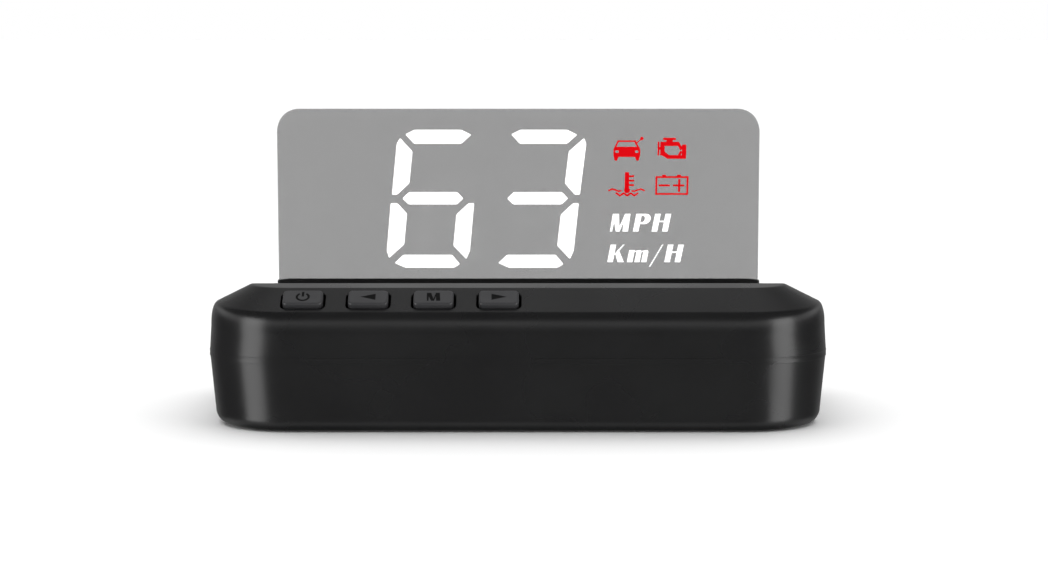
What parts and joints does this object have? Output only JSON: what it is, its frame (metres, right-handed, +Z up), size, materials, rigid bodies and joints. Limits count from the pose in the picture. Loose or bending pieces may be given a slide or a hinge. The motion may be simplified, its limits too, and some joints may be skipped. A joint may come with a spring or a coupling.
{
  "type": "car head-up display",
  "caption": "Dashboard head-up display: a low black case with a row of keys, a sloping display window and a hinged clear reflector that folds flat.",
  "frame": {"origin": "centre of the footprint, on the surface it stands on", "axes": "+X to the driver's right along the case, +Y away from the driver, +Z up"},
  "size_m": [0.12, 0.064, 0.0597],
  "materials": {
    "case_plastic": "satin black ABS with a fine moulded grain",
    "key_plastic": "smooth dark grey ABS with pressed-in glossy signs",
    "hinge_plastic": "satin black",
    "reflector_acrylic": "clear acrylic with a grey half-mirror coating",
    "window_acrylic": "polished smoked acrylic",
    "printed_film": "matt black print",
    "white_nylon": "matt white",
    "lit_white": "lit white film",
    "lit_red": "lit red film",
    "board_laminate": "green solder mask",
    "chip_epoxy": "moulded black epoxy",
    "bright_steel": "nickel plated",
    "dark_steel": "black zinc plated",
    "can_aluminium": "drawn can",
    "ribbon_film": "white film",
    "silicone_rubber": "matt black, ribbed",
    "label_film": "blank silver film"
  },
  "bodies": {
    "base": {"upper_case": "case_plastic", "lower_case": "case_plastic", "display_window": "window_acrylic", "display_mask": "printed_film", "segment_housing": "white_nylon", "friction_washer_left": "white_nylon", "friction_washer_right": "white_nylon", "button_ribbon_connector": "white_nylon", "display_ribbon_connector": "white_nylon", "diffuser_film": "lit_white", "main_board": "board_laminate", "display_board": "board_laminate", "button_board": "board_laminate", "mcu_chip": "chip_epoxy", "led_driver_chip": "chip_epoxy", "voltage_regulator": "chip_epoxy", "power_inductor": "chip_epoxy", "buzzer": "chip_epoxy", "usb_port_tongue": "chip_epoxy", "usb_port_shell": "bright_steel", "crystal_can": "bright_steel", "power_tact_switch": "bright_steel", "left_tact_switch": "bright_steel", "mode_tact_switch": "bright_steel", "right_tact_switch": "bright_steel", "button_board_screw_left": "bright_steel", "button_board_screw_right": "bright_steel", "display_board_screw_left": "bright_steel", "display_board_screw_right": "bright_steel", "board_screw_front_left": "bright_steel", "board_screw_front_right": "bright_steel", "board_screw_rear_left": "bright_steel", "board_screw_rear_right": "bright_steel", "case_screw_front_left": "dark_steel", "case_screw_front_right": "dark_steel", "case_screw_rear_left": "dark_steel", "case_screw_rear_right": "dark_steel", "filter_capacitor_front": "can_aluminium", "filter_capacitor_rear": "can_aluminium", "button_ribbon": "ribbon_film", "display_ribbon": "ribbon_film", "grip_pad": "silicone_rubber", "rating_label": "label_film"},
    "reflector": {"reflector_plate": "reflector_acrylic", "hinge_bar": "hinge_plastic", "hinge_pin_left": "bright_steel", "hinge_pin_right": "bright_steel"},
    "power_key": {"power_button": "key_plastic", "power_switch_plunger": "chip_epoxy"},
    "left_key": {"left_button": "key_plastic", "left_switch_plunger": "chip_epoxy"},
    "mode_key": {"mode_button": "key_plastic", "mode_switch_plunger": "chip_epoxy"},
    "right_key": {"right_button": "key_plastic", "right_switch_plunger": "chip_epoxy"}
  },
  "joints": [
    {"name": "reflector_hinge", "type": "hinge", "parent": "base", "child": "reflector", "pos_m": [0, 0.0265, 0.0201], "axis": [1, 0, 0], "range_deg": [-18, 64]},
    {"name": "power_press", "type": "slide", "parent": "base", "child": "power_key", "axis": [0, 0.5097, -0.8604], "range_m": [0, 0.0005], "stiffness_N_per_m": 300, "springref_m": -0.001},
    {"name": "left_press", "type": "slide", "parent": "base", "child": "left_key", "axis": [0, 0.5097, -0.8604], "range_m": [0, 0.0005], "stiffness_N_per_m": 300, "springref_m": -0.001},
    {"name": "mode_press", "type": "slide", "parent": "base", "child": "mode_key", "axis": [0, 0.5097, -0.8604], "range_m": [0, 0.0005], "stiffness_N_per_m": 300, "springref_m": -0.001},
    {"name": "right_press", "type": "slide", "parent": "base", "child": "right_key", "axis": [0, 0.5097, -0.8604], "range_m": [0, 0.0005], "stiffness_N_per_m": 300, "springref_m": -0.001}
  ]
}
